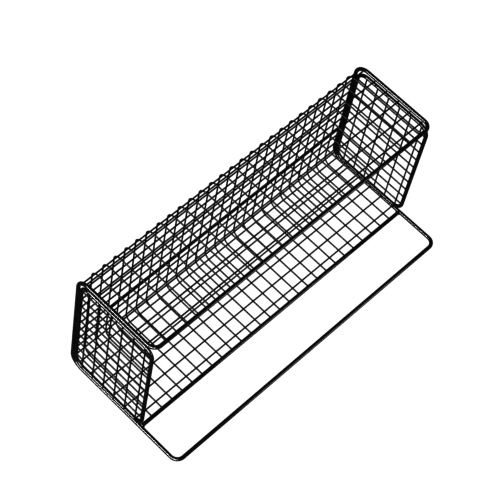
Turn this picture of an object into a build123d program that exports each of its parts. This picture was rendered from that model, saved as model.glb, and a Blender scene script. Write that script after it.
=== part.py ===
from build123d import *

import math
import os

# A welded wire cable tray: a deep basket with one open side and a loop of wire in front of it.
# Millimetres. +X runs along the tray, the open side and the hanging loop face -Y, +Z is up.
# The origin is at the bottom centre of the whole tray.

# Driving dimensions. Lengths of the frame are between wire centre lines.
LEG_SPACING = 594.0         # left legs to right legs
DEPTH = 156.8               # front bar to back legs
HEIGHT = 252.4              # base legs to top legs
LOOP_REACH = 78.2           # front bar plane to the hanging bar
FRAME_WIRE = 6.3            # coated diameter of the heavy wire
MESH_WIRE = 2.5             # coated diameter of the light wire
LOOP_CORNER = 13.5          # bend radius at the four corners of the loop's flat outline
PROFILE_BEND = 22.5         # bend radius where the legs turn into the back

END_INSET = 0.6             # end frames sit this far inboard of the legs
END_FRONT = 2.0             # front edge of the end frames, behind the front bar's plane
END_TOP_GAP = 12.5          # top edge of the end frames, below the top legs
END_CORNER = 18.5           # corner radius of the end frames

CROSS_COUNT = 26            # wires bent round the basket from the front bar to the cross rod
CROSS_PITCH = 21.8
CROSS_BEND = 14.3           # bend radius of those wires

PANEL_ROWS = 6              # wires along the top panel and along the bottom panel
PANEL_FIRST = 16.3          # first of them, behind the front bar's plane
PANEL_PITCH = 25.5
BACK_ROWS = 10              # wires along the back panel
BACK_FIRST = 19.2           # lowest of them, above the base legs' plane
BACK_PITCH = 24.6

UPRIGHT_COUNT = 6           # upright wires in each end frame
UPRIGHT_FIRST = 15.2
UPRIGHT_PITCH = 23.75
CROSSWIRE_COUNT = 10        # level wires in each end frame
CROSSWIRE_FIRST = 25.5
CROSSWIRE_PITCH = 21.8

WELD_SINK = 0.2             # how far two crossing wires are pressed into each other by the weld
BUTT_SINK = 0.05            # how far a wire's coped end is melted into the wire it stands on
SIDE_SINK = 0.02            # the same for two wires that lie side by side

# Derived values.
FRAME_RADIUS = FRAME_WIRE / 2
MESH_RADIUS = MESH_WIRE / 2
HALF_LENGTH = LEG_SPACING / 2
FRONT_Y = (LOOP_REACH - DEPTH) / 2          # plane of the front bar
BACK_Y = FRONT_Y + DEPTH
LOOP_Y = FRONT_Y - LOOP_REACH
BASE_Z = FRAME_RADIUS
TOP_Z = BASE_Z + HEIGHT
ROD_Y = FRONT_Y + END_FRONT

LAYER_STEP = MESH_WIRE - WELD_SINK          # between the two layers of a welded mesh
ROW_INSET = FRAME_RADIUS + MESH_RADIUS - WELD_SINK
CROSS_INSET = ROW_INSET - LAYER_STEP
BEND_CENTRE = CROSS_INSET + CROSS_BEND      # from the frame's planes to the centre of a cross wire's bend

NEST = math.sqrt((FRAME_WIRE - SIDE_SINK) ** 2 - END_INSET ** 2)
END_FRONT_Y = FRONT_Y + END_FRONT
END_BACK_Y = BACK_Y - NEST
END_BASE_Z = BASE_Z + NEST
END_TOP_Z = TOP_Z - END_TOP_GAP

ROW_PAST_LEG = 1.0                          # top rows run this far past the legs' centre lines
CORNER_ROW_END = 2.2                        # rows inside a bend stop this far short of them
GROOVE_DEPTH = math.sqrt(FRAME_RADIUS ** 2 - (NEST - ROW_INSET) ** 2)
GROOVE_END = END_INSET + GROOVE_DEPTH - WELD_SINK


def bent_wire(points, radii, diameter, closed=False):
    """A round wire bent along a polyline, with one bend radius for each turn."""
    path = FilletPolyline(*points, radius=radii, close=closed)
    section = Plane(origin=path @ 0, z_dir=path % 0) * Circle(diameter / 2)
    return Solid(sweep(section, path=path).wrapped)


def straight_wire(start, end, diameter):
    """A straight round wire between two points."""
    line = Line(start, end)
    section = Plane(origin=start, z_dir=line % 0) * Circle(diameter / 2)
    return Solid(extrude(section, amount=line.length).wrapped)


def write_node(name, *solids):
    """One STEP file: a single piece, or a group of like pieces kept as separate solids."""
    node = solids[0] if len(solids) == 1 else Compound(children=list(solids))
    node.label = name
    export_step(node, f"parts/{name}.step")


def main_frame():
    """The heavy wire: front bar, legs, back legs, base legs and hanging bar, closed by a butt weld."""
    corners = [
        (0, LOOP_Y, BASE_Z),
        (-HALF_LENGTH, LOOP_Y, BASE_Z),
        (-HALF_LENGTH, BACK_Y, BASE_Z),
        (-HALF_LENGTH, BACK_Y, TOP_Z),
        (-HALF_LENGTH, FRONT_Y, TOP_Z),
        (0, FRONT_Y, TOP_Z),
    ]
    radii = [LOOP_CORNER, PROFILE_BEND, PROFILE_BEND, LOOP_CORNER]
    left = bent_wire(corners, radii, FRAME_WIRE)
    return (left + mirror(left, about=Plane.YZ)).solid()


def cross_rod():
    """The heavy rod between the base legs, its ends coped to fit round them."""
    rod = straight_wire((-HALF_LENGTH, ROD_Y, BASE_Z), (HALF_LENGTH, ROD_Y, BASE_Z), FRAME_WIRE)
    for side in (-1, 1):
        leg_x = side * HALF_LENGTH
        rod -= straight_wire(
            (leg_x, ROD_Y - FRAME_WIRE, BASE_Z),
            (leg_x, ROD_Y + FRAME_WIRE, BASE_Z),
            2 * (FRAME_RADIUS - BUTT_SINK),
        )
    return rod.solid()


def end_loop(side, diameter):
    """The closed rounded rectangle of one end frame, at a chosen wire diameter."""
    x = side * (HALF_LENGTH - END_INSET)
    middle_y = (END_FRONT_Y + END_BACK_Y) / 2
    halves = []
    for edge_y in (END_FRONT_Y, END_BACK_Y):
        corners = [
            (x, middle_y, END_BASE_Z),
            (x, edge_y, END_BASE_Z),
            (x, edge_y, END_TOP_Z),
            (x, middle_y, END_TOP_Z),
        ]
        halves.append(bent_wire(corners, [END_CORNER, END_CORNER], diameter))
    return (halves[0] + halves[1]).solid()


def cross_wire(index):
    """One light wire bent round the basket, its two ends coped to the front bar and the cross rod."""
    x = (index - (CROSS_COUNT - 1) / 2) * CROSS_PITCH
    top_z = TOP_Z - CROSS_INSET
    back_y = BACK_Y - CROSS_INSET
    base_z = BASE_Z + CROSS_INSET
    corners = [(x, FRONT_Y, top_z), (x, back_y, top_z), (x, back_y, base_z), (x, ROD_Y, base_z)]
    wire = bent_wire(corners, [CROSS_BEND, CROSS_BEND], MESH_WIRE)
    for bar_y, bar_z in ((FRONT_Y, TOP_Z), (ROD_Y, BASE_Z)):
        wire -= straight_wire(
            (x - FRAME_WIRE, bar_y, bar_z),
            (x + FRAME_WIRE, bar_y, bar_z),
            2 * (FRAME_RADIUS - BUTT_SINK),
        )
    return wire.solid()


def row_inset(from_corner):
    """How far a row lies inside a panel's plane, given its distance from the next panel's plane."""
    into_bend = max(0.0, BEND_CENTRE - from_corner)
    return BEND_CENTRE - math.sqrt((CROSS_BEND - LAYER_STEP) ** 2 - into_bend ** 2)


def panel_rows(panel_z, inward, end):
    """The light wires along the top or bottom panel, front to back."""
    rows = []
    for row in range(PANEL_ROWS):
        from_front = PANEL_FIRST + row * PANEL_PITCH
        from_back = DEPTH - from_front
        row_end = CORNER_ROW_END if from_back < PROFILE_BEND else end
        x = HALF_LENGTH - row_end
        y = FRONT_Y + from_front
        z = panel_z + inward * row_inset(from_back)
        rows.append(straight_wire((-x, y, z), (x, y, z), MESH_WIRE))
    return rows


def back_rows():
    """The light wires along the back panel, bottom to top."""
    rows = []
    for row in range(BACK_ROWS):
        from_base = BACK_FIRST + row * BACK_PITCH
        from_corner = min(from_base, HEIGHT - from_base)
        row_end = CORNER_ROW_END if from_corner < PROFILE_BEND else GROOVE_END
        x = HALF_LENGTH - row_end
        y = BACK_Y - row_inset(from_corner)
        z = BASE_Z + from_base
        rows.append(straight_wire((-x, y, z), (x, y, z), MESH_WIRE))
    return rows


def end_mesh(side):
    """The uprights and the level wires of one end frame, their ends coped to its inside."""
    coping = end_loop(side, 2 * (FRAME_RADIUS - BUTT_SINK))
    plane_x = HALF_LENGTH - END_INSET
    upright_x = side * (plane_x + LAYER_STEP / 2)
    level_x = side * (plane_x - LAYER_STEP / 2)
    uprights = []
    for index in range(UPRIGHT_COUNT):
        y = FRONT_Y + UPRIGHT_FIRST + index * UPRIGHT_PITCH
        wire = straight_wire((upright_x, y, END_BASE_Z), (upright_x, y, END_TOP_Z), MESH_WIRE)
        uprights.append(longest_piece(wire - coping))
    levels = []
    for index in range(CROSSWIRE_COUNT):
        z = BASE_Z + CROSSWIRE_FIRST + index * CROSSWIRE_PITCH
        wire = straight_wire((level_x, END_FRONT_Y, z), (level_x, END_BACK_Y, z), MESH_WIRE)
        levels.append(longest_piece(wire - coping))
    return uprights, levels


def longest_piece(cut):
    """The wire itself, without the crumbs that coping leaves beyond the frame."""
    return cut.solids().sort_by(SortBy.VOLUME)[-1]


def main():
    os.makedirs("parts", exist_ok=True)
    write_node("main_frame", main_frame())
    write_node("cross_rod", cross_rod())
    for index in range(CROSS_COUNT):
        write_node(f"cross_wire_{index + 1:02d}", cross_wire(index))
    for index, row in enumerate(panel_rows(TOP_Z, -1, -ROW_PAST_LEG)):
        write_node(f"top_row_{index + 1}", row)
    for index, row in enumerate(panel_rows(BASE_Z, 1, GROOVE_END)):
        write_node(f"bottom_row_{index + 1}", row)
    for index, row in enumerate(back_rows()):
        write_node(f"back_row_{index + 1:02d}", row)
    for name, side in (("left", -1), ("right", 1)):
        write_node(f"{name}_end_frame", end_loop(side, FRAME_WIRE))
        uprights, levels = end_mesh(side)
        write_node(f"{name}_end_uprights", *uprights)
        write_node(f"{name}_end_crosswires", *levels)


main()
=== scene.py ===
"""The visible model of a welded wire cable tray in satin black powder coat, round its CAD frame.

Every wire is formed as a wire bender would form it: a ring is pushed along straight runs and
turned round bends. Welds, fillets and sheared ends are added where two wires meet or one stops.
Lengths are metres, in the CAD's own frame: +X along the tray, the open side towards -Y, +Z up.
"""

import logging
import math
from dataclasses import dataclass
from enum import Enum
from typing import Any, Sequence

import bpy
from mathutils import Matrix, Vector


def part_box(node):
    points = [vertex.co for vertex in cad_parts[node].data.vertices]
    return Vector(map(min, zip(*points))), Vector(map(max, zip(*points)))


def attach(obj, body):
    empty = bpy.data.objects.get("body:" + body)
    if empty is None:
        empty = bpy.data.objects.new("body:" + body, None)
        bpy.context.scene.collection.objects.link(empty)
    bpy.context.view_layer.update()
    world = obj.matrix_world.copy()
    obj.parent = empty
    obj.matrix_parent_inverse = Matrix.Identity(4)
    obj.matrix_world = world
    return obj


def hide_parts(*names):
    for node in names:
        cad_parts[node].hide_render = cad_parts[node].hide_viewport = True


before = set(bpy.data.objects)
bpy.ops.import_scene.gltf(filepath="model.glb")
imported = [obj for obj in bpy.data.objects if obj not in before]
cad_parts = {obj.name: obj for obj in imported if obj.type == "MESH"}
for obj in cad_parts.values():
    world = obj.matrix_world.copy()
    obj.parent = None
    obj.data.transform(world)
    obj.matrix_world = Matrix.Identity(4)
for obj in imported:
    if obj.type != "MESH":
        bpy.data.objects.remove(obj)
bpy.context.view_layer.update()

LOG = logging.getLogger("cable_tray")
BODY = "root"
MM = 0.001

X = Vector((1, 0, 0))
Y = Vector((0, 1, 0))
Z = Vector((0, 0, 1))


# ---------------------------------------------------------------------------------------------
# Small helpers round Blender's operators
# ---------------------------------------------------------------------------------------------


def deselect_all() -> None:
    """Goes back to object mode, with nothing selected for the next operator to act on."""
    if bpy.context.object is not None and bpy.context.object.mode != "OBJECT":
        bpy.ops.object.mode_set(mode="OBJECT")
    bpy.ops.object.select_all(action="DESELECT")


def make_active(piece: bpy.types.Object) -> None:
    """Selects one object alone and makes it the active one.

    Args:
        piece: The object.
    """
    deselect_all()
    piece.select_set(True)
    bpy.context.view_layer.objects.active = piece


def freeze_place(piece: bpy.types.Object) -> None:
    """Puts an object's place, turn and scale into its mesh."""
    make_active(piece)
    bpy.ops.object.transform_apply(location=True, rotation=True, scale=True)


def box_centre(node: str) -> Vector:
    """The centre of a CAD node's box."""
    low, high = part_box(node)
    return (low + high) / 2


def box_size(node: str) -> Vector:
    """The size of a CAD node's box."""
    low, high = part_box(node)
    return high - low


def copied(piece: bpy.types.Object, name: str, shift: Vector) -> bpy.types.Object:
    """Copies a finished piece, with a mesh of its own, to another place.

    Args:
        piece: The piece to copy, whose object sits at the origin.
        name: The copy's name.
        shift: How far the copy is moved.

    Returns:
        The copy, its place in its mesh.
    """
    make_active(piece)
    bpy.ops.object.duplicate(linked=False)
    copy = bpy.context.object
    copy.name = name
    copy.data.name = name
    copy.location = shift
    freeze_place(copy)
    return copy


def arrayed(piece: bpy.types.Object, count: int, step: Vector) -> bpy.types.Object:
    """Repeats a piece in a line, within its own mesh.

    Args:
        piece: The piece, modelled once.
        count: How many there are to be.
        step: From one to the next.

    Returns:
        The same object, holding them all.
    """
    make_active(piece)
    array = piece.modifiers.new("repeats", "ARRAY")
    array.count = count
    array.use_relative_offset = False
    array.use_constant_offset = True
    array.constant_offset_displace = step
    bpy.ops.object.modifier_apply(modifier=array.name)
    return piece


def joined(pieces: Sequence[bpy.types.Object], name: str) -> bpy.types.Object:
    """Joins pieces into one object with a name of its own.

    Args:
        pieces: The pieces to join, which are used up.
        name: The joined object's name.

    Returns:
        The one object that is left.
    """
    make_active(pieces[0])
    for piece in pieces[1:]:
        piece.select_set(True)
    if len(pieces) > 1:
        bpy.ops.object.join()
    whole = bpy.context.object
    whole.name = name
    whole.data.name = name
    return whole


# ---------------------------------------------------------------------------------------------
# Shader maths
# ---------------------------------------------------------------------------------------------


class Sock:
    """One shader output, with Python's operators standing for Math nodes."""

    def __init__(self, graph: "Graph", socket: bpy.types.NodeSocket) -> None:
        """Wraps a socket of a graph."""
        self.graph = graph
        self.socket = socket

    def _math(self, operation: str, first: Any, second: Any) -> "Sock":
        """Adds a Math node on two values or sockets."""
        return self.graph.node("ShaderNodeMath", {"operation": operation}, {0: first, 1: second})

    def __add__(self, other: Any) -> "Sock":
        """The sum."""
        return self._math("ADD", self, other)

    def __radd__(self, other: Any) -> "Sock":
        """The sum, from the right."""
        return self._math("ADD", other, self)

    def __sub__(self, other: Any) -> "Sock":
        """The difference."""
        return self._math("SUBTRACT", self, other)

    def __mul__(self, other: Any) -> "Sock":
        """The product."""
        return self._math("MULTIPLY", self, other)


class Graph:
    """The node tree of one material or world."""

    def __init__(self, tree: bpy.types.NodeTree) -> None:
        """Empties a node tree and keeps it."""
        self.tree = tree
        tree.nodes.clear()

    def node(
        self, kind: str, settings: dict[str, Any], inputs: dict[Any, Any], out: Any = 0
    ) -> Sock:
        """Adds one node.

        Args:
            kind: The node's type.
            settings: The node's own settings, set before its sockets.
            inputs: A value or a link for each named or numbered socket.
            out: The name or number of the output that is returned.

        Returns:
            That output, wrapped.
        """
        made = self.tree.nodes.new(kind)
        for name, value in settings.items():
            setattr(made, name, value)
        for key, value in inputs.items():
            if isinstance(value, Sock):
                self.tree.links.new(value.socket, made.inputs[key])
            else:
                made.inputs[key].default_value = value
        return Sock(self, made.outputs[out])

    def ramp(self, value: Sock, low: float, high: float) -> Sock:
        """Adds a smooth rise from 0 to 1.

        Args:
            value: The input.
            low: Where the rise starts.
            high: Where it ends.

        Returns:
            The number between 0 and 1.
        """
        inputs = {"Value": value, "From Min": low, "From Max": high}
        settings = {"interpolation_type": "SMOOTHSTEP"}
        return self.node("ShaderNodeMapRange", settings, inputs)

    def noise(self, vector: Sock, grain: float, detail: float, roughness: float = 0.5) -> Sock:
        """Adds noise.

        Args:
            vector: The coordinates.
            grain: The size of its cells in metres.
            detail: How many finer layers it has.
            roughness: How strong the finer layers are.

        Returns:
            The noise, between 0 and 1.
        """
        inputs = {"Vector": vector, "Scale": 1 / grain, "Detail": detail, "Roughness": roughness}
        return self.node("ShaderNodeTexNoise", {}, inputs)

    def output(self, shader: Sock, kind: str = "ShaderNodeOutputMaterial") -> None:
        """Adds the tree's output and links a shader to it."""
        made = self.tree.nodes.new(kind)
        self.tree.links.new(shader.socket, made.inputs["Surface"])


class Gauge(Enum):
    """The two wires that the tray is made of."""

    FRAME = "heavy wire of the frame"
    MESH = "light wire of the mesh"


@dataclass(frozen=True)
class PowderCoat:
    """Satin powder coat baked on steel wire: slight orange peel, patches of gloss, thin scuffs.

    Attributes:
        name: The material's name.
        colour: The coat's colour where it is clean.
        worn_colour: Its colour in the finest scuffs.
        gloss_roughness: Roughness of the glossiest patches.
        matt_roughness: Roughness of the dullest patches.
        refraction: The coat's index of refraction.
        sheen: How strongly it reflects, 0.5 being what its refraction gives.
        peel_grain: Size of the orange peel's cells.
        grit_grain: Size of the fine grit on top of it.
        patch_grain: Size of the glossy and dull patches.
        patch_range: Where in their noise glossy starts to turn dull, and where it is dull.
        peel_height: How high the peel stands.
        relief: How strongly the height turns the surface.
        peel_share: The orange peel's share of the height.
        grit_share: The grit's share of the height.
        scuff_depth: How far a scuff cuts into it.
        scuff_amount: How much of the surface the scuffs may take.
        scuff_width: Width of a scuff.
        scuff_range: Where in their noise a scuff starts, and where it is full.
        scuff_turn: Which way the scuffs run, as three angles.
        scuff_stretch: How much they are drawn out, as the scale of each coordinate.
        scuff_patch: Size of the patches that scuffs gather in.
        scuff_patch_range: Where in its noise such a patch starts, and where it is full.
        scuff_dulling: What a scuff adds to the roughness.
        scuff_wear: How far a scuff takes the colour towards the worn one.
        patch_wear: How far a dull patch does.
    """

    name: str
    colour: tuple[float, float, float] = (0.006, 0.006, 0.0063)
    worn_colour: tuple[float, float, float] = (0.016, 0.016, 0.0165)
    gloss_roughness: float = 0.11
    matt_roughness: float = 0.17
    refraction: float = 1.5
    sheen: float = 0.5
    peel_grain: float = 0.9 * MM
    grit_grain: float = 0.16 * MM
    patch_grain: float = 24 * MM
    patch_range: tuple[float, float] = (0.35, 0.65)
    peel_height: float = 0.006 * MM
    relief: float = 0.35
    peel_share: float = 0.8
    grit_share: float = 0.14
    scuff_depth: float = 0.1
    scuff_amount: float = 0.35
    scuff_width: float = 0.5 * MM
    scuff_range: tuple[float, float] = (0.62, 0.72)
    scuff_turn: tuple[float, float, float] = (0.5, 0.3, 0.7)
    scuff_stretch: tuple[float, float, float] = (1, 1, 0.08)
    scuff_patch: float = 60 * MM
    scuff_patch_range: tuple[float, float] = (0.5, 0.7)
    scuff_dulling: float = 0.12
    scuff_wear: float = 0.7
    patch_wear: float = 0.2

    def build(self) -> bpy.types.Material:
        """Makes the material's nodes.

        Returns:
            The material.
        """
        material = bpy.data.materials.new(self.name)
        material.use_nodes = True
        graph = Graph(material.node_tree)
        place = graph.node("ShaderNodeTexCoord", {}, {}, "Object")
        peel = graph.noise(place, self.peel_grain, 1.5, 0.4)
        grit = graph.noise(place, self.grit_grain, 1.0)
        patches = graph.noise(place, self.patch_grain, 3.0, 0.55)
        scuffs = self.scuffs(graph, place)
        dull = graph.ramp(patches, *self.patch_range)
        span = self.matt_roughness - self.gloss_roughness
        roughness = self.gloss_roughness + dull * span + scuffs * self.scuff_dulling
        wear = scuffs * self.scuff_wear + dull * self.patch_wear
        colour = graph.node(
            "ShaderNodeMix",
            {"data_type": "RGBA"},
            {0: wear, 6: (*self.colour, 1), 7: (*self.worn_colour, 1)},
            2,
        )
        height = peel * self.peel_share + grit * self.grit_share - scuffs * self.scuff_depth
        normal = graph.node(
            "ShaderNodeBump",
            {},
            {"Strength": self.relief, "Distance": self.peel_height, "Height": height},
        )
        inputs = {
            "Base Color": colour,
            "Roughness": roughness,
            "Normal": normal,
            "IOR": self.refraction,
            "Specular IOR Level": self.sheen,
        }
        graph.output(graph.node("ShaderNodeBsdfPrincipled", {}, inputs))
        return material

    def scuffs(self, graph: Graph, place: Sock) -> Sock:
        """Adds short hairline scuffs, gathered in patches.

        Args:
            graph: The graph to add to.
            place: The Object coordinates.

        Returns:
            A mask, 1 in a scuff.
        """
        stretched = graph.node(
            "ShaderNodeMapping",
            {},
            {"Vector": place, "Rotation": self.scuff_turn, "Scale": self.scuff_stretch},
        )
        lines = graph.ramp(graph.noise(stretched, self.scuff_width, 2.0), *self.scuff_range)
        where = graph.ramp(graph.noise(place, self.scuff_patch, 2.0), *self.scuff_patch_range)
        return lines * where * self.scuff_amount


@dataclass(frozen=True)
class StudioPaper:
    """The white sheet that the tray stands on, lit from below like a light table.

    Attributes:
        name: The material's name.
        colour: Its colour under the lights, kept dark so that only the glow shows.
        roughness: Its roughness.
        sheen: How strongly it reflects.
        glow: How brightly it glows.
    """

    name: str
    colour: tuple[float, float, float] = (0.01, 0.01, 0.01)
    roughness: float = 0.9
    sheen: float = 0.1
    glow: float = 1.0

    def build(self) -> bpy.types.Material:
        """Makes the material's nodes.

        Returns:
            The material.
        """
        material = bpy.data.materials.new(self.name)
        material.use_nodes = True
        graph = Graph(material.node_tree)
        inputs = {
            "Base Color": (*self.colour, 1),
            "Roughness": self.roughness,
            "Specular IOR Level": self.sheen,
            "Emission Color": (1, 1, 1, 1),
            "Emission Strength": self.glow,
        }
        graph.output(graph.node("ShaderNodeBsdfPrincipled", {}, inputs))
        return material


# ---------------------------------------------------------------------------------------------
# Forming wire
# ---------------------------------------------------------------------------------------------


class EndKind(Enum):
    """How a wire stops."""

    SHEARED = "cut square, its edge rounded by the coat"
    WELDED = "welded on another wire, with a fillet of melted metal and coat"
    OPEN = "left open, to be closed by a mirror or by its own start"


class Former:
    """Forms one round wire along its centre line, from a ring of vertices, by extrude and spin.

    Attributes:
        SHEARED_PROFILE: The rings of a sheared end, from the end inward. Each has its distance from
            the last, in wire diameters, and its width as a multiple of the wire's.
        WELDED_PROFILE: The same for an end with a weld fillet.
        MERGE: Rings closer than this are merged, in wire diameters.
        SMOOTH_ANGLE: Edges turned by less than this are shaded smooth, in degrees.
    """

    SHEARED_PROFILE = ((0.0, 0.70), (0.04, 0.88), (0.07, 0.97), (0.10, 1.0))
    WELDED_PROFILE = ((0.0, 1.36), (0.35, 1.36), (0.20, 1.22), (0.22, 1.09), (0.28, 1.0))
    MERGE = 0.002
    SMOOTH_ANGLE = 50

    def __init__(
        self, name: str, start: Vector, heading: Vector, diameter: float, sides: int, end: EndKind
    ) -> None:
        """Starts a wire.

        Args:
            name: The wire's name.
            start: Where its centre line starts.
            heading: Which way it runs from there.
            diameter: The wire's coated diameter.
            sides: How many vertices a ring has.
            end: How the wire starts.
        """
        self.at = start.copy()
        self.heading = heading.normalized()
        self.diameter = diameter
        self.scale = 1.0
        turn = Z.rotation_difference(self.heading).to_euler()
        deselect_all()
        bpy.ops.mesh.primitive_circle_add(
            vertices=sides, radius=diameter / 2, location=start, rotation=turn
        )
        self.piece = bpy.context.object
        self.piece.name = name
        self.piece.data.name = name
        freeze_place(self.piece)
        bpy.ops.object.mode_set(mode="EDIT")
        bpy.ops.mesh.select_all(action="SELECT")
        for distance, scale in self.profile(end):
            self.push(distance * diameter)
            self.widen(scale)

    @classmethod
    def profile(cls, end: EndKind) -> tuple[tuple[float, float], ...]:
        """The rings at a wire's end.

        Args:
            end: How the wire stops.

        Returns:
            The rings, as in the profiles above, or none for an open end.
        """
        if end is EndKind.SHEARED:
            return cls.SHEARED_PROFILE
        if end is EndKind.WELDED:
            return cls.WELDED_PROFILE
        return ()

    def push(self, length: float) -> None:
        """Extrudes the ring straight on.

        Args:
            length: How far, or nothing is done when it isn't above 0.
        """
        if length <= 0:
            return
        step = self.heading * length
        bpy.ops.mesh.extrude_region_move(TRANSFORM_OT_translate={"value": step})
        self.at += step

    def widen(self, scale: float) -> None:
        """Resizes the ring.

        Args:
            scale: Its new width, as a multiple of the wire's.
        """
        ratio = scale / self.scale
        bpy.ops.transform.resize(value=(ratio, ratio, ratio), center_override=self.at)
        self.scale = scale

    def bend(self, toward: Vector, radius: float, steps: int) -> None:
        """Turns the wire through a right angle.

        Args:
            toward: The direction that the wire heads in after the bend.
            radius: The bend's radius at the wire's centre line.
            steps: How many rings the bend has.
        """
        centre = self.at + toward * radius
        axis = toward.cross(self.heading)  # spin turns clockwise about its axis
        bpy.ops.mesh.spin(steps=steps, angle=math.pi / 2, center=centre, axis=axis)
        self.at = centre + self.heading * radius
        self.heading = toward.copy()

    def run_to(self, end: Vector, kind: EndKind) -> None:
        """Runs straight to the end of the wire and shapes that end.

        Args:
            end: Where the wire stops.
            kind: How it stops.
        """
        rings = self.profile(kind)
        tail = sum(gap for gap, _ in rings) * self.diameter
        self.push((end - self.at).dot(self.heading) - tail)
        for (gap, _), (_, scale) in zip(reversed(rings), reversed(rings[:-1])):
            self.push(gap * self.diameter)
            self.widen(scale)

    def finish(self, closed: bool = False) -> bpy.types.Object:
        """Closes the wire and smooths it.

        Args:
            closed: Whether the rings close on themselves or on a mirror, so that no end is capped.

        Returns:
            The finished wire.
        """
        bpy.ops.mesh.select_all(action="SELECT")
        bpy.ops.mesh.remove_doubles(threshold=self.diameter * self.MERGE)
        if not closed:
            bpy.ops.mesh.fill_holes(sides=0)
        bpy.ops.mesh.normals_make_consistent(inside=False)
        bpy.ops.object.mode_set(mode="OBJECT")
        make_active(self.piece)
        bpy.ops.object.shade_smooth_by_angle(angle=math.radians(self.SMOOTH_ANGLE))
        return self.piece


def straight_wire(
    name: str, start: Vector, end: Vector, diameter: float, sides: int, kind: EndKind
) -> bpy.types.Object:
    """Forms a straight wire whose two ends are of one kind.

    Args:
        name: The wire's name.
        start: One end of its centre line.
        end: The other end.
        diameter: Its coated diameter.
        sides: How many vertices a ring has.
        kind: How both ends stop.

    Returns:
        The finished wire.
    """
    former = Former(name, start, end - start, diameter, sides, kind)
    former.run_to(end, kind)
    return former.finish()


@dataclass
class Welder:
    """Makes the small rounded nuggets that resistance welding squeezes out between two wires.

    Attributes:
        sides: How many sides a nugget has.
        spread: A nugget's width, in diameters of the thinner wire.
        depth: Its thickness, in the same diameters.
        rounding: How much of its thickness the rounded edge takes at each face.
        merge: Vertices closer than this are merged, in the same diameters.
    """

    sides: int = 8
    spread: float = 0.9
    depth: float = 0.5
    rounding: float = 0.4
    merge: float = 0.01

    def nugget(self, name: str, wire: float, through: Vector, place: Vector) -> bpy.types.Object:
        """Models one nugget: a squat drum whose edges are rounded off.

        Args:
            name: The nugget's name.
            wire: Diameter of the thinner wire.
            through: The direction that runs through both wires at the weld.
            place: The middle of the weld.

        Returns:
            The nugget.
        """
        deselect_all()
        bpy.ops.mesh.primitive_cylinder_add(
            vertices=self.sides,
            radius=wire * self.spread / 2,
            depth=wire * self.depth,
            rotation=(0, 0, math.pi / self.sides),
        )
        nugget = bpy.context.object
        nugget.name = name
        freeze_place(nugget)
        bpy.ops.object.mode_set(mode="EDIT")
        bpy.ops.mesh.select_all(action="SELECT")
        edge = wire * self.depth * self.rounding
        bpy.ops.mesh.bevel(offset=edge, segments=2, affect="EDGES")
        bpy.ops.mesh.select_all(action="SELECT")
        bpy.ops.mesh.remove_doubles(threshold=wire * self.merge)
        bpy.ops.mesh.normals_make_consistent(inside=False)
        bpy.ops.object.mode_set(mode="OBJECT")
        nugget.rotation_euler = Z.rotation_difference(through).to_euler()
        nugget.location = place
        freeze_place(nugget)
        bpy.ops.object.shade_smooth()
        return nugget


# ---------------------------------------------------------------------------------------------
# The tray
# ---------------------------------------------------------------------------------------------


@dataclass
class SubAssembly:
    """What every group of pieces shares: its coat, its welds and how its pieces join the frame.

    Attributes:
        coats: The material of each gauge of wire.
        welder: What makes the weld nuggets.
    """

    coats: dict[Gauge, bpy.types.Material]
    welder: Welder

    def dress(self, piece: bpy.types.Object, gauge: Gauge, *nodes: str) -> None:
        """Coats a piece, lets it ride on the tray and stand for CAD nodes.

        Args:
            piece: The finished piece.
            gauge: The wire that it is made of, or that it is welded to.
            nodes: The CAD nodes that it stands for, if any.
        """
        piece.data.materials.clear()
        piece.data.materials.append(self.coats[gauge])
        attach(piece, BODY)
        if nodes:
            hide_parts(*nodes)
        LOG.info("%s: %d faces", piece.name, len(piece.data.polygons))


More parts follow.
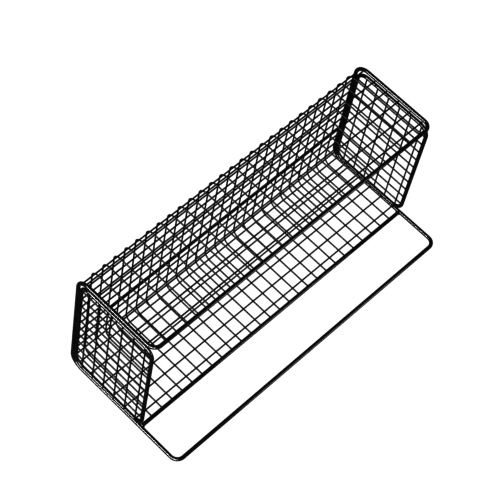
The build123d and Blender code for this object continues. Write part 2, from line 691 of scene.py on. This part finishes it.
@dataclass
class HeavyFrame(SubAssembly):
    """The one bent wire that gives the tray its outline, and the rod across its base legs.

    Attributes:
        loop_corner: Bend radius at the four corners of the flat outline.
        profile_bend: Bend radius where the legs turn into the back.
        rings: Rings in each bend.
        sides: Vertices in each ring.
        fillet: Size of the fillets beside the rod, in wire diameters.
        fillet_inset: How far they are from the end of the rod, in the same diameters.
        fillet_offset: How far they are from its centre line, in the same diameters.
        rod_margin: How far the rod stops short of its CAD node's ends, in the same diameters.
        merge: Vertices closer than this are merged where the two halves meet.
    """

    loop_corner: float = 13.5 * MM
    profile_bend: float = 22.5 * MM
    rings: int = 14
    sides: int = 28
    fillet: float = 0.62
    fillet_inset: float = 0.56
    fillet_offset: float = 0.52
    rod_margin: float = 0.25
    merge: float = 0.01 * MM

    def build(self) -> None:
        """Builds the bent wire, the cross rod and the fillets between them."""
        self.bent_wire()
        self.cross_rod()
        self.rod_fillets()

    def bent_wire(self) -> None:
        """Forms the left half, from the middle of the hanging bar to that of the front bar."""
        low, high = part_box("main_frame")
        wire = box_size("cross_rod").z
        middle = Vector((wire, wire, wire)) / 2
        low, high = low + middle, high - middle
        front_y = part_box("cross_wire_01")[0].y  # a cross wire starts under the front bar's middle
        start = Vector((0, low.y, low.z))
        former = Former("bent_frame_wire", start, -X, wire, self.sides, EndKind.OPEN)
        former.push(-low.x - self.loop_corner)
        former.bend(Y, self.loop_corner, self.rings)
        former.push(high.y - self.profile_bend - former.at.y)
        former.bend(Z, self.profile_bend, self.rings)
        former.push(high.z - self.profile_bend - former.at.z)
        former.bend(-Y, self.profile_bend, self.rings)
        former.push(former.at.y - front_y - self.loop_corner)
        former.bend(X, self.loop_corner, self.rings)
        former.push(-former.at.x)
        piece = former.finish(closed=True)
        self.mirror(piece)
        self.dress(piece, Gauge.FRAME, "main_frame")

    def mirror(self, piece: bpy.types.Object) -> None:
        """Adds the right half of a wire whose left half is modelled.

        Args:
            piece: The left half, which ends at the middle of the tray.
        """
        make_active(piece)
        mirror = piece.modifiers.new("right half", "MIRROR")
        mirror.merge_threshold = self.merge
        bpy.ops.object.modifier_apply(modifier=mirror.name)
        bpy.ops.object.mode_set(mode="EDIT")
        bpy.ops.mesh.select_all(action="SELECT")
        bpy.ops.mesh.normals_make_consistent(inside=False)
        bpy.ops.object.mode_set(mode="OBJECT")

    def cross_rod(self) -> None:
        """Forms the straight rod, its ends melted into the base legs."""
        low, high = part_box("cross_rod")
        centre, wire = (low + high) / 2, high.z - low.z
        reach = X * (centre.x - low.x - wire * self.rod_margin)
        rod = straight_wire(
            "welded_cross_rod", centre - reach, centre + reach, wire, self.sides, EndKind.SHEARED
        )
        self.dress(rod, Gauge.FRAME, "cross_rod")

    def rod_fillets(self) -> None:
        """Builds the weld metal in the four corners between the rod and the base legs."""
        low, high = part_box("cross_rod")
        centre, wire = (low + high) / 2, high.z - low.z
        fillets = []
        for side in (-1, 1):
            for front in (-1, 1):
                x = side * (high.x - wire * self.fillet_inset)
                y = centre.y + front * wire * self.fillet_offset
                corner = Vector((x, y, centre.z))
                fillets.append(self.welder.nugget("rod_fillet", wire * self.fillet, Z, corner))
        self.dress(joined(fillets, "cross_rod_weld_fillets"), Gauge.FRAME)


@dataclass
class Panels(SubAssembly):
    """The light wires of the top, back and bottom panels, with a weld at every crossing.

    Attributes:
        cross_count: How many wires are bent round the basket.
        cross_bend: Bend radius of those wires.
        panel_rows: Rows in the top panel and in the bottom panel.
        back_rows: Rows in the back panel.
        rings: Rings in each bend.
        sides: Vertices in each ring.
        tuck: How far a cross wire's ends start inside the heavy wires, in its diameters.
        weld_step: From a row's centre to its crossing welds, in its diameters.
        end_weld: Size of the welds at a row's ends, as a multiple of a crossing weld.
        end_weld_step: From the row's centre to them, in its diameters.
        end_weld_inset: How far inboard they are, in its diameters.
    """

    cross_count: int = 26
    cross_bend: float = 14.3 * MM
    panel_rows: int = 6
    back_rows: int = 10
    rings: int = 10
    sides: int = 14
    tuck: float = 0.5
    weld_step: float = 0.42
    end_weld: float = 1.12
    end_weld_step: float = 0.42
    end_weld_inset: float = 0.1

    def build(self) -> None:
        """Builds the cross wires, then the rows of each panel with their welds."""
        self.cross_wires()
        for panel, count, digits, out in (
            ("top_row", self.panel_rows, 1, Z),
            ("bottom_row", self.panel_rows, 1, -Z),
            ("back_row", self.back_rows, 2, Y),
        ):
            nodes = [f"{panel}_{row + 1:0{digits}d}" for row in range(count)]
            self.rows(nodes)
            self.crossing_welds(panel, nodes, out)
            self.leg_welds(panel, nodes, out)

    def cross_node(self, index: int) -> str:
        """The CAD node of one cross wire."""
        return f"cross_wire_{index + 1:02d}"

    def cross_wires(self) -> None:
        """Forms the first cross wire and copies it along the tray."""
        first = self.cross_node(0)
        low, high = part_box(first)
        wire = high.x - low.x
        radius = wire / 2
        x, back_y = low.x + radius, high.y - radius
        base_z, top_z = low.z + radius, high.z - radius
        rod_y = box_centre("cross_rod").y
        tuck = wire * self.tuck
        start = Vector((x, low.y + tuck, top_z))
        former = Former("formed_cross_wire_01", start, Y, wire, self.sides, EndKind.WELDED)
        former.push(back_y - self.cross_bend - former.at.y)
        former.bend(-Z, self.cross_bend, self.rings)
        former.push(former.at.z - base_z - self.cross_bend)
        former.bend(-Y, self.cross_bend, self.rings)
        former.run_to(Vector((x, rod_y + tuck, base_z)), EndKind.WELDED)
        piece = former.finish()
        for index in range(1, self.cross_count):
            node = self.cross_node(index)
            shift = X * (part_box(node)[0].x - low.x)
            self.dress(copied(piece, f"formed_{node}", shift), Gauge.MESH, node)
        self.dress(piece, Gauge.MESH, first)

    def rows(self, nodes: Sequence[str]) -> None:
        """Forms a panel's rows. Those of one length are formed once and copied.

        Args:
            nodes: The CAD nodes of the rows.
        """
        formed: dict[float, tuple[bpy.types.Object, Vector]] = {}
        for node in nodes:
            low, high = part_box(node)
            centre, wire = (low + high) / 2, high.z - low.z
            length = round(high.x - low.x, 5)  # to a hundredth of a millimetre
            name = f"straight_{node}"
            if length in formed:
                pattern, origin = formed[length]
                self.dress(copied(pattern, name, centre - origin), Gauge.MESH, node)
                continue
            reach = X * (high.x - low.x) / 2
            row = straight_wire(
                name, centre - reach, centre + reach, wire, self.sides, EndKind.SHEARED
            )
            formed[length] = (row, centre)
            self.dress(row, Gauge.MESH, node)

    def crossing_welds(self, panel: str, nodes: Sequence[str], out: Vector) -> None:
        """Puts a nugget at each crossing of a row and a cross wire.

        Args:
            panel: The panel's name.
            nodes: The CAD nodes of its rows.
            out: The direction from the basket's inside through the panel.
        """
        first = box_centre(self.cross_node(0))
        last = box_centre(self.cross_node(self.cross_count - 1))
        pitch = (last.x - first.x) / (self.cross_count - 1)
        lines = []
        for node in nodes:
            row, wire = box_centre(node), box_size(node).z
            normal = self.row_normal(row, out)
            place = Vector((first.x, row.y, row.z)) + normal * wire * self.weld_step
            line = self.welder.nugget(node, wire, normal, place)
            lines.append(arrayed(line, self.cross_count, X * pitch))
        self.dress(joined(lines, f"{panel}_crossing_welds"), Gauge.MESH)

    def row_normal(self, row: Vector, out: Vector) -> Vector:
        """Finds the way from a row to the cross wires outside it, which turns inside their bends.

        Args:
            row: The row's centre.
            out: The direction from the basket's inside through the row's panel.

        Returns:
            The direction.
        """
        low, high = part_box(self.cross_node(0))
        radius = (high.x - low.x) / 2 + self.cross_bend
        bend_y = high.y - radius
        for bend_z, above in ((high.z - radius, 1), (low.z + radius, -1)):
            if row.y > bend_y and (row.z - bend_z) * above > 0:
                return Vector((0, row.y - bend_y, row.z - bend_z)).normalized()
        return out

    def leg_welds(self, panel: str, nodes: Sequence[str], out: Vector) -> None:
        """Puts a larger nugget where each row's end lies on the legs or in the groove beside them.

        Args:
            panel: The panel's name.
            nodes: The CAD nodes of its rows.
            out: The direction from the basket's inside through the panel.
        """
        leg_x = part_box("cross_rod")[1].x
        welds = []
        for node in nodes:
            low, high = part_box(node)
            wire = high.z - low.z
            for side, end_x in ((-1, low.x), (1, high.x)):
                x = side * min(abs(end_x), leg_x) - side * wire * self.end_weld_inset
                place = Vector((x, (low.y + high.y) / 2, (low.z + high.z) / 2))
                place += out * wire * self.end_weld_step
                welds.append(self.welder.nugget(node, wire * self.end_weld, out, place))
        self.dress(joined(welds, f"{panel}_end_welds"), Gauge.MESH)


class Side(Enum):
    """The tray's two ends."""

    LEFT = "left"
    RIGHT = "right"


@dataclass
class MeshedEnd(SubAssembly):
    """One meshed end: a closed heavy frame with light wires welded inside it.

    Attributes:
        side: Which end it is.
        corner: Bend radius at the frame's four corners.
        uprights: How many upright wires it has.
        levels: How many level wires it has.
        rings: Rings in each bend.
        frame_sides: Vertices in each ring of the heavy wire.
        sides: Vertices in each ring of the light wires.
        tuck: Where the light wires stop inside the heavy one, in its diameters.
        bead: Size of the welds that hold the frame, in the same diameters.
        bead_spread: How far they are from the frame's middle, as a share of its size.
    """

    side: Side = Side.LEFT
    corner: float = 18.5 * MM
    uprights: int = 6
    levels: int = 10
    rings: int = 12
    frame_sides: int = 28
    sides: int = 14
    tuck: float = 0.72
    bead: float = 0.5
    bead_spread: float = 0.25

    def build(self) -> None:
        """Builds the frame, the wires in it, and the welds."""
        self.end_frame()
        self.light_wires("end_uprights", "upright_wires", self.uprights, Y, Z)
        self.light_wires("end_crosswires", "level_wires", self.levels, Z, Y)
        self.crossing_welds()
        self.nest_welds()

    def node(self, name: str) -> str:
        """The CAD node of this end that has a given name."""
        return f"{self.side.value}_{name}"

    def end_frame(self) -> None:
        """Forms the closed frame, from the middle of its lower edge and back to it."""
        node = self.node("end_frame")
        low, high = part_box(node)
        wire = high.x - low.x
        middle = Vector((wire, wire, wire)) / 2
        low, high = low + middle, high - middle
        start = Vector((low.x, (low.y + high.y) / 2, low.z))
        name = f"{self.side.value}_bent_end_frame"
        former = Former(name, start, Y, wire, self.frame_sides, EndKind.OPEN)
        for corner, toward in (
            (Vector((low.x, high.y, low.z)), Z),
            (high, -Y),
            (Vector((low.x, low.y, high.z)), -Z),
            (low, Y),
        ):
            former.push((corner - former.at).dot(former.heading) - self.corner)
            former.bend(toward, self.corner, self.rings)
        former.push((start - former.at).dot(former.heading))
        self.dress(former.finish(closed=True), Gauge.FRAME, node)

    def light_wires(self, node: str, name: str, count: int, across: Vector, along: Vector) -> None:
        """Forms one light wire of the mesh and repeats it.

        Args:
            node: The CAD node's name, without the side.
            name: The name of the finished piece, without the side.
            count: How many wires there are.
            across: The direction from one wire to the next.
            along: The direction that the wires run in.
        """
        low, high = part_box(self.node(node))
        wire = high.x - low.x
        middle = Vector((wire, wire, wire)) / 2
        inner_low, inner_high = low + middle, high - middle
        frame_low, frame_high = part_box(self.node("end_frame"))
        heavy = frame_high.x - frame_low.x
        tuck = heavy * self.tuck
        start = inner_low - along * inner_low.dot(along) + along * (frame_low.dot(along) + tuck)
        end = start + along * (frame_high.dot(along) - tuck - start.dot(along))
        piece = straight_wire(
            f"{self.side.value}_{name}", start, end, wire, self.sides, EndKind.WELDED
        )
        pitch = (inner_high - inner_low).dot(across) / (count - 1)
        self.dress(arrayed(piece, count, across * pitch), Gauge.MESH, self.node(node))

    def crossing_welds(self) -> None:
        """Puts a nugget at each crossing of an upright and a level wire."""
        upright_low, upright_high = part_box(self.node("end_uprights"))
        level_low, level_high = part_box(self.node("end_crosswires"))
        wire = upright_high.x - upright_low.x
        x = (upright_low.x + upright_high.x + level_low.x + level_high.x) / 4
        place = Vector((x, upright_low.y + wire / 2, level_low.z + wire / 2))
        across = Y * (upright_high.y - upright_low.y - wire) / (self.uprights - 1)
        up = Z * (level_high.z - level_low.z - wire) / (self.levels - 1)
        name = f"{self.side.value}_end_crossing_welds"
        nugget = self.welder.nugget(name, wire, X, place)
        self.dress(arrayed(arrayed(nugget, self.uprights, across), self.levels, up), Gauge.MESH)

    def nest_welds(self) -> None:
        """Puts short welds where the frame lies against the base leg and the back leg."""
        low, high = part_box(self.node("end_frame"))
        wire = high.x - low.x
        x = (low.x + high.x) / 2
        spread = Vector((0, high.y - low.y, high.z - low.z)) * self.bead_spread
        centre = (low + high) / 2
        beads = []
        for step in (-1, 1):
            under = Vector((x, centre.y + step * spread.y, low.z))
            behind = Vector((x, high.y, centre.z + step * spread.z))
            beads.append(self.welder.nugget("bead", wire * self.bead, Z, under))
            beads.append(self.welder.nugget("bead", wire * self.bead, Y, behind))
        self.dress(joined(beads, f"{self.side.value}_end_frame_welds"), Gauge.FRAME)


# ---------------------------------------------------------------------------------------------
# The studio
# ---------------------------------------------------------------------------------------------


@dataclass(frozen=True)
class Softbox:
    """A rectangular soft light.

    Attributes:
        name: The light's name.
        place: Where it hangs.
        aim: The point that it faces.
        width: Its level side.
        height: Its other side.
        power: Its power in watts.
    """

    name: str
    place: tuple[float, float, float]
    aim: tuple[float, float, float]
    width: float
    height: float
    power: float

    def build(self) -> None:
        """Adds the light."""
        facing = Vector(self.aim) - Vector(self.place)
        turn = facing.to_track_quat("-Z", "Y").to_euler()
        deselect_all()
        bpy.ops.object.light_add(type="AREA", location=self.place, rotation=turn)
        lamp = bpy.context.object
        lamp.name = self.name
        lamp.data.shape = "RECTANGLE"
        lamp.data.size = self.width
        lamp.data.size_y = self.height
        lamp.data.energy = self.power


@dataclass(frozen=True)
class CameraStand:
    """Where the camera is, told from the point that it looks at.

    Attributes:
        target: The point in the middle of the view.
        azimuth: The direction that it looks in, in degrees from +Y towards +X.
        elevation: How steeply it looks down, in degrees.
        roll: How far it is tipped about its own axis, in degrees.
        distance: From the camera to the target.
        lens: Focal length in millimetres.
        sensor: Width of the sensor in millimetres.
        reach: The farthest distance that it sees.
    """

    target: tuple[float, float, float]
    azimuth: float
    elevation: float
    roll: float
    distance: float
    lens: float
    sensor: float = 36.0
    reach: float = 100.0

    def build(self) -> None:
        """Adds the camera and makes it the scene's own."""
        turn, drop = math.radians(self.azimuth), math.radians(self.elevation)
        flat = math.cos(drop)
        look = Vector((math.sin(turn) * flat, math.cos(turn) * flat, -math.sin(drop)))
        aimed = look.to_track_quat("-Z", "Y").to_matrix()
        tipped = aimed @ Matrix.Rotation(math.radians(self.roll), 3, "Z")
        deselect_all()
        bpy.ops.object.camera_add(
            location=Vector(self.target) - look * self.distance, rotation=tipped.to_euler()
        )
        camera = bpy.context.object
        camera.data.lens = self.lens
        camera.data.sensor_width = self.sensor
        camera.data.clip_end = self.reach
        bpy.context.scene.camera = camera


@dataclass
class Studio:
    """The floor, the lights, the pale surroundings and the camera.

    Attributes:
        floor_size: The length of the floor's side.
        floor_drop: How far the floor is below the tray.
        surround: How strongly the white background lights the tray.
        contrast: The view's gamma, under 1 for more contrast.
    """

    floor_size: float = 24.0
    floor_drop: float = 0.3 * MM
    surround: float = 0.03
    contrast: float = 0.5

    def build(self) -> None:
        """Builds the studio round the tray."""
        self.floor()
        self.surroundings()
        for box in self.lights():
            box.build()
        CameraStand(
            target=(-0.01276, 0.03048, 0.13282),
            azimuth=56.484,
            elevation=58.321,
            roll=13.349,
            distance=2.85106,
            lens=132.68,
        ).build()
        scene = bpy.context.scene
        scene.view_settings.view_transform = "Standard"
        scene.view_settings.gamma = self.contrast

    def floor(self) -> None:
        """Lays a wide pale sheet just under the tray."""
        deselect_all()
        bpy.ops.mesh.primitive_plane_add(size=self.floor_size, location=(0, 0, -self.floor_drop))
        floor = bpy.context.object
        floor.name = "studio_floor"
        floor.data.materials.append(StudioPaper("studio_paper").build())
        floor.visible_glossy = False  # the sheet lights the tray but isn't mirrored in its coat

    def surroundings(self) -> None:
        """Makes the far background white, and dim where it only lights the tray."""
        world = bpy.data.worlds.new("studio")
        world.use_nodes = True
        bpy.context.scene.world = world
        graph = Graph(world.node_tree)
        seen = graph.node("ShaderNodeLightPath", {}, {}, "Is Camera Ray")
        strength = self.surround + seen * (1 - self.surround)
        light = graph.node(
            "ShaderNodeBackground", {}, {"Color": (1, 1, 1, 1), "Strength": strength}
        )
        graph.output(light, "ShaderNodeOutputWorld")

    def lights(self) -> tuple[Softbox, ...]:
        """Lists the soft lights: a long strip at the left and a weaker box in front.

        Returns:
            The lights.
        """
        middle = (0.0, 0.0, 0.1)
        strip = Softbox(
            "side_strip", place=(-2.8, -0.4, 2.0), aim=middle, width=6.0, height=0.6, power=1050.0
        )
        box = Softbox(
            "front_softbox", place=(1.15, -2.3, 0.65), aim=middle, width=0.8, height=0.8, power=30.0
        )
        return strip, box


def coat_what_is_left(coat: bpy.types.Material) -> None:
    """Gives the coat to every CAD node that still shows.

    Args:
        coat: The material.
    """
    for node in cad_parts.values():
        if node.hide_render:
            continue
        for slot in node.material_slots:
            slot.material = coat


def main() -> None:
    """Builds the studio and the tray."""
    logging.basicConfig(level=logging.INFO, format="%(name)s: %(message)s")
    Studio().build()
    coats = {
        Gauge.FRAME: PowderCoat("satin_black_frame_coat").build(),
        Gauge.MESH: PowderCoat(
            "satin_black_mesh_coat", gloss_roughness=0.22, matt_roughness=0.30, sheen=0.2
        ).build(),
    }
    welder = Welder()
    HeavyFrame(coats, welder).build()
    Panels(coats, welder).build()
    for side in Side:
        MeshedEnd(coats, welder, side).build()
    coat_what_is_left(coats[Gauge.FRAME])


if __name__ == "__main__":
    main()
